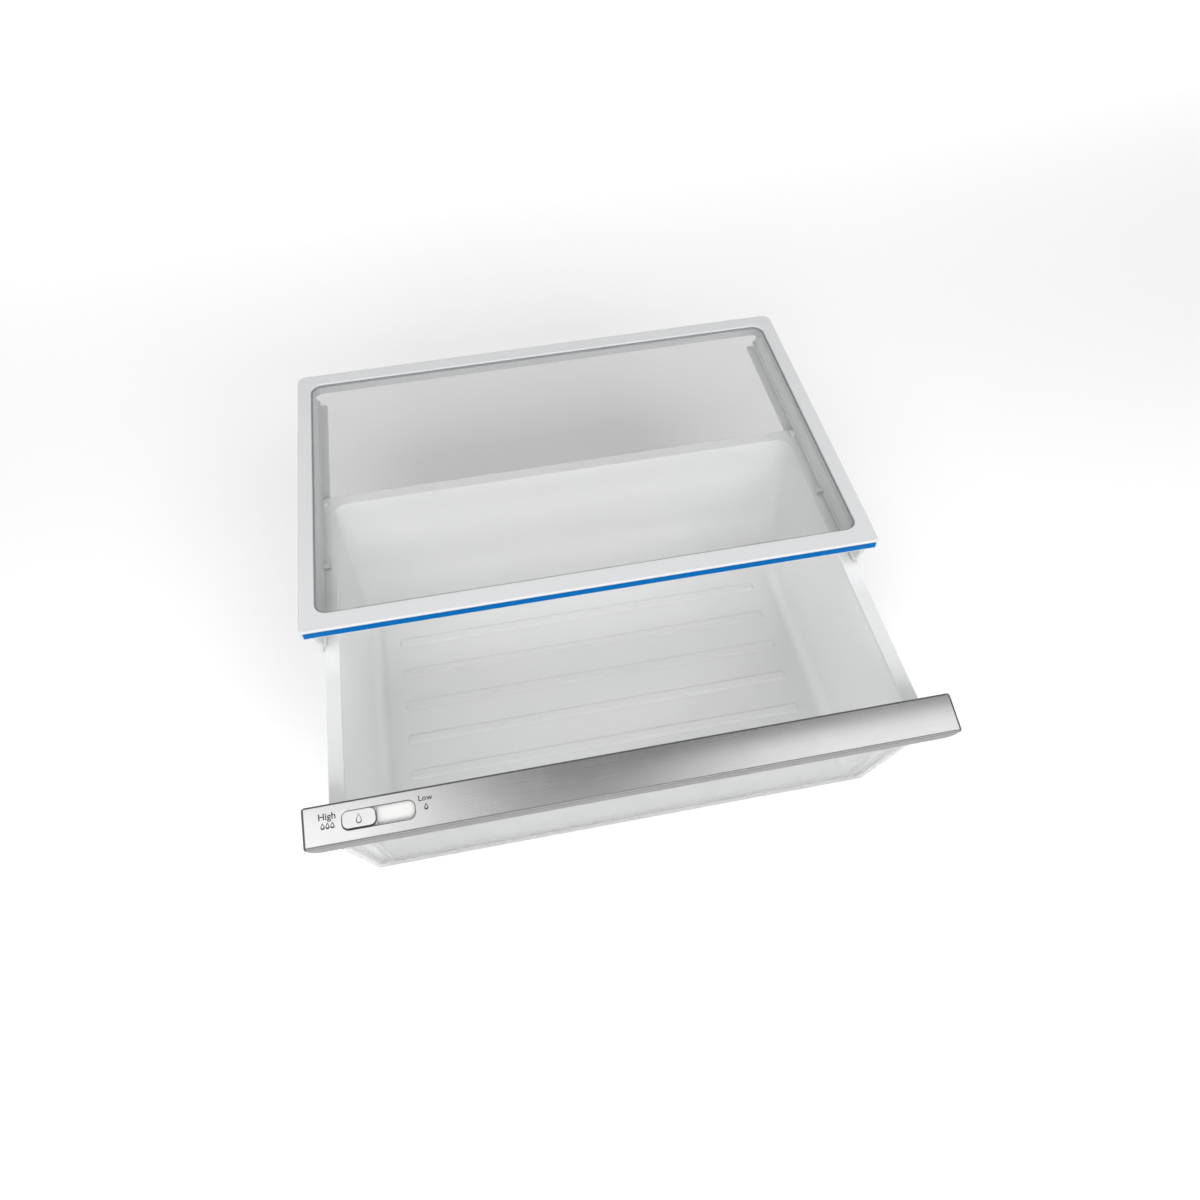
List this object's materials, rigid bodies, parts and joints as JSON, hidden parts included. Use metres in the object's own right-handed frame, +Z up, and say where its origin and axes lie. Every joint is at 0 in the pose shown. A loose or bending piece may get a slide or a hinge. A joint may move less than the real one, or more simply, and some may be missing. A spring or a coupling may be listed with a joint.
{
  "type": "fridge crisper drawer",
  "caption": "Clear moulded crisper drawer with a stainless handle and humidity slider, running on rails under a framed glass fridge shelf.",
  "frame": {"origin": "middle of the pan's flat base, on its underside", "axes": "+X across the drawer to the right seen from the front, +Y towards the back of the fridge, +Z up"},
  "size_m": [0.452, 0.4646, 0.1848],
  "materials": {
    "frame_plastic": "satin moulded, light grey",
    "shelf_glass": "flat tempered glass",
    "seal_bead": "thin translucent bead",
    "accent_blue": "glossy blue",
    "rail_plastic": "moulded, white",
    "clear_plastic": "clear moulding",
    "handle_plastic": "moulded, dark grey",
    "stainless": "brushed along its length",
    "screw_steel": "plain zinc",
    "slider_white": "moulded, white"
  },
  "bodies": {
    "shelf": {"shelf_frame": "frame_plastic", "shelf_glass": "shelf_glass", "glass_seal": "seal_bead", "accent_strip": "accent_blue", "left_rail": "rail_plastic", "right_rail": "rail_plastic"},
    "drawer": {"drawer_pan": "clear_plastic", "handle_carrier": "handle_plastic", "handle_skin": "stainless", "left_end_cap": "handle_plastic", "right_end_cap": "handle_plastic", "handle_screws": "screw_steel", "slider_track": "slider_white"},
    "slider": {"slider_knob": "slider_white"}
  },
  "joints": [
    {"name": "drawer_slide", "type": "slide", "parent": "shelf", "child": "drawer", "axis": [0, -1, 0], "range_m": [-0.135, 0.0689]},
    {"name": "humidity_slide", "type": "slide", "parent": "drawer", "child": "slider", "axis": [1, 0, 0], "range_m": [0, 0.025]}
  ]
}
